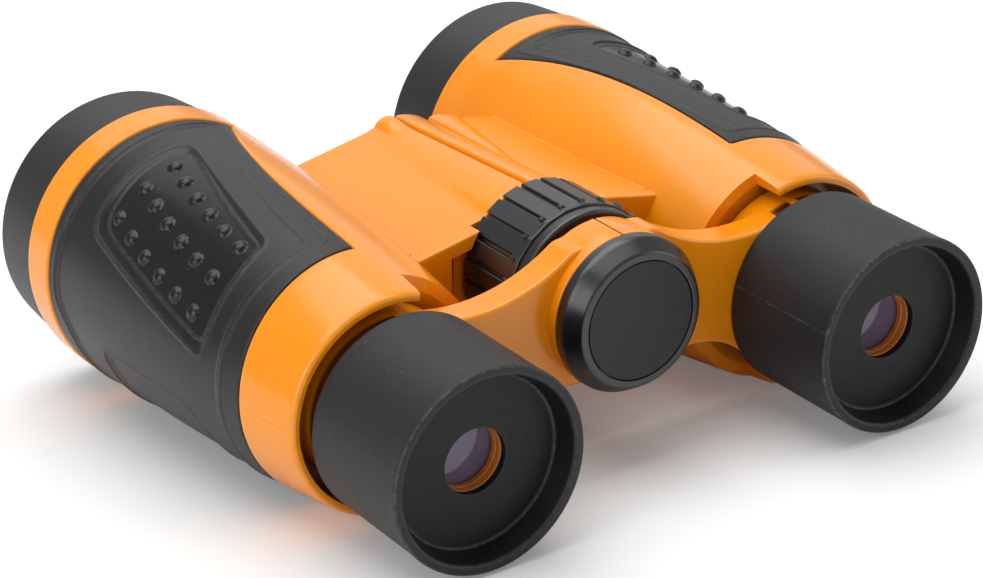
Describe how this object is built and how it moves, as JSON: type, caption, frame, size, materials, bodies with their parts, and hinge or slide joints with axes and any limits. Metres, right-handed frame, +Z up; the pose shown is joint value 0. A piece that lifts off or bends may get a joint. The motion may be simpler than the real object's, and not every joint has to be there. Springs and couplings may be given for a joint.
{
  "type": "toy binoculars",
  "caption": "Toy binoculars with tapered barrels, moulded grips, round eyecups, a folding centre hinge and a ridged focus wheel that slides both eyepieces.",
  "frame": {"origin": "under the middle of the binoculars, at the height of the lowest point of the barrels", "axes": "+X towards the right barrel as seen by the user, +Y forward to the objectives, +Z up"},
  "size_m": [0.0948, 0.0886, 0.0358],
  "materials": {
    "orange_plastic": "glossy moulded orange plastic",
    "grip_rubber": "matte soft-touch grip",
    "dark_plastic": "matte dark grey plastic",
    "eyecup_plastic": "fine-grained matte black plastic",
    "black_plastic": "satin black plastic",
    "objective_glass": "clear moulded lens",
    "eye_glass": "clear moulded lens",
    "steel": "plain drawn steel",
    "brass": "turned brass"
  },
  "bodies": {
    "left_half": {"left_body": "orange_plastic", "left_grip": "grip_rubber", "left_objective_ring": "dark_plastic", "left_objective_lens": "objective_glass", "left_lens_retainer": "dark_plastic", "hinge_tube": "steel", "hinge_plug": "orange_plastic", "wheel_clip": "steel"},
    "right_half": {"right_body": "orange_plastic", "right_grip": "grip_rubber", "right_objective_ring": "dark_plastic", "right_objective_lens": "objective_glass", "right_lens_retainer": "dark_plastic"},
    "wheel": {"focus_wheel": "black_plastic", "drive_nut": "brass"},
    "left_eyepiece": {"left_eyepiece_arm": "orange_plastic", "left_eyecup": "eyecup_plastic", "left_eye_lens": "eye_glass", "left_eye_lens_ring": "orange_plastic", "focus_spindle": "steel", "friction_washer": "steel", "hub_cap": "black_plastic", "hub_cap_disc": "dark_plastic", "hub_screw": "steel"},
    "right_eyepiece": {"right_eyepiece_arm": "orange_plastic", "right_eyecup": "eyecup_plastic", "right_eye_lens": "eye_glass", "right_eye_lens_ring": "orange_plastic"}
  },
  "joints": [
    {"name": "fold", "type": "hinge", "parent": "left_half", "child": "right_half", "pos_m": [0, 0, 0.0232], "axis": [0, 1, 0], "range_deg": [0, 35]},
    {"name": "focus_turn", "type": "hinge", "parent": "left_half", "child": "wheel", "pos_m": [0, 0, 0.0232], "axis": [0, 1, 0], "range_deg": [0, 360]},
    {"name": "left_focus_slide", "type": "slide", "parent": "left_half", "child": "left_eyepiece", "axis": [0, -1, 0], "range_m": [0, 0.005]},
    {"name": "right_focus_slide", "type": "slide", "parent": "right_half", "child": "right_eyepiece", "axis": [0, -1, 0], "range_m": [0, 0.005]}
  ],
  "couplings": [
    {"joint": "focus_turn", "follows": "left_focus_slide", "rad_per_m": 1256.6},
    {"joint": "right_focus_slide", "follows": "left_focus_slide", "ratio": 1}
  ]
}
